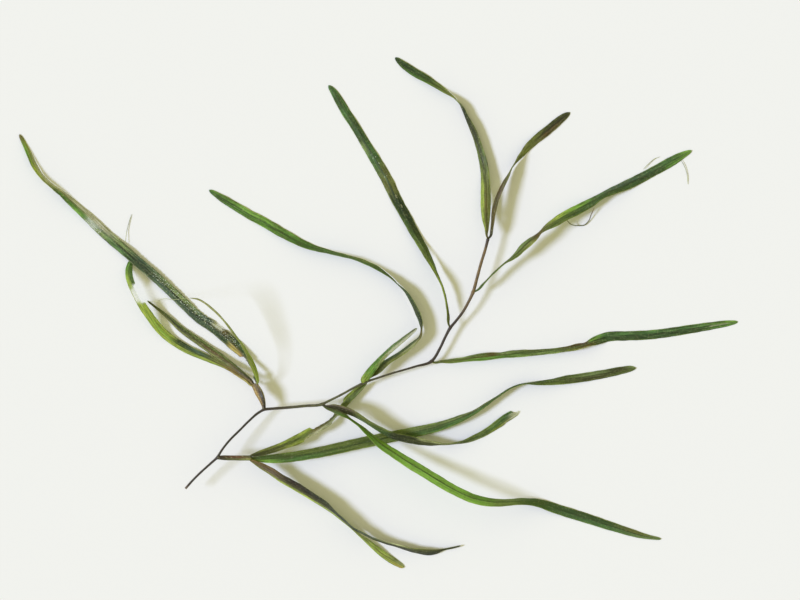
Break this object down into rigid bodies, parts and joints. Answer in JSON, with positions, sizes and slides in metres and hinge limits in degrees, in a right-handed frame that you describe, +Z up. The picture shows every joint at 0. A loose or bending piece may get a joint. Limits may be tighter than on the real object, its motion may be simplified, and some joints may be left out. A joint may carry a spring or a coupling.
{
  "type": "grass-wrack pondweed sprig",
  "caption": "Picked sprig of grass-wrack pondweed: a thin branching stem with long strap-like leaves, lying spread out on a flat surface.",
  "frame": {"origin": "on the surface that the sprig lies on, under the middle of its outline seen from above", "axes": "+Z up from the surface, +X to the right and +Y towards the sprig's top, as seen from above with the cut end at the lower left"},
  "size_m": [0.2302, 0.1638, 0.017],
  "materials": {
    "stem": "dark brown, damp, slightly glossy",
    "side_shoot": "ochre brown, damp",
    "leaf_green": "thin, translucent, wet gloss",
    "leaf_bright_green": "thin, translucent, wet gloss",
    "leaf_dark_green": "thin, translucent, wet gloss",
    "leaf_olive": "thin, translucent, wet gloss",
    "leaf_brown": "thin, translucent, wet gloss",
    "stipule": "thin, clear above, wet gloss"
  },
  "bodies": {
    "root": {"stem_lower": "stem", "stem_middle": "stem", "stem_upper": "stem", "side_shoot_lower": "side_shoot", "side_shoot_left": "side_shoot", "leaf_top_left": "leaf_olive", "leaf_top_right": "leaf_brown", "leaf_upper_right": "leaf_green", "leaf_upper_straight": "leaf_green", "leaf_middle_right": "leaf_green", "leaf_s_curved": "leaf_green", "leaf_half_decayed": "leaf_olive", "leaf_short_wavy": "leaf_green", "leaf_longest": "leaf_dark_green", "leaf_bright_arched": "leaf_bright_green", "leaf_dark_hooked": "leaf_dark_green", "leaf_olive_lower": "leaf_olive", "leaf_far_left": "leaf_dark_green", "leaf_curled_left": "leaf_bright_green", "leaf_narrow_left": "leaf_brown", "leaf_arched_left": "leaf_olive", "stipule": "stipule"}
  },
  "joints": []
}
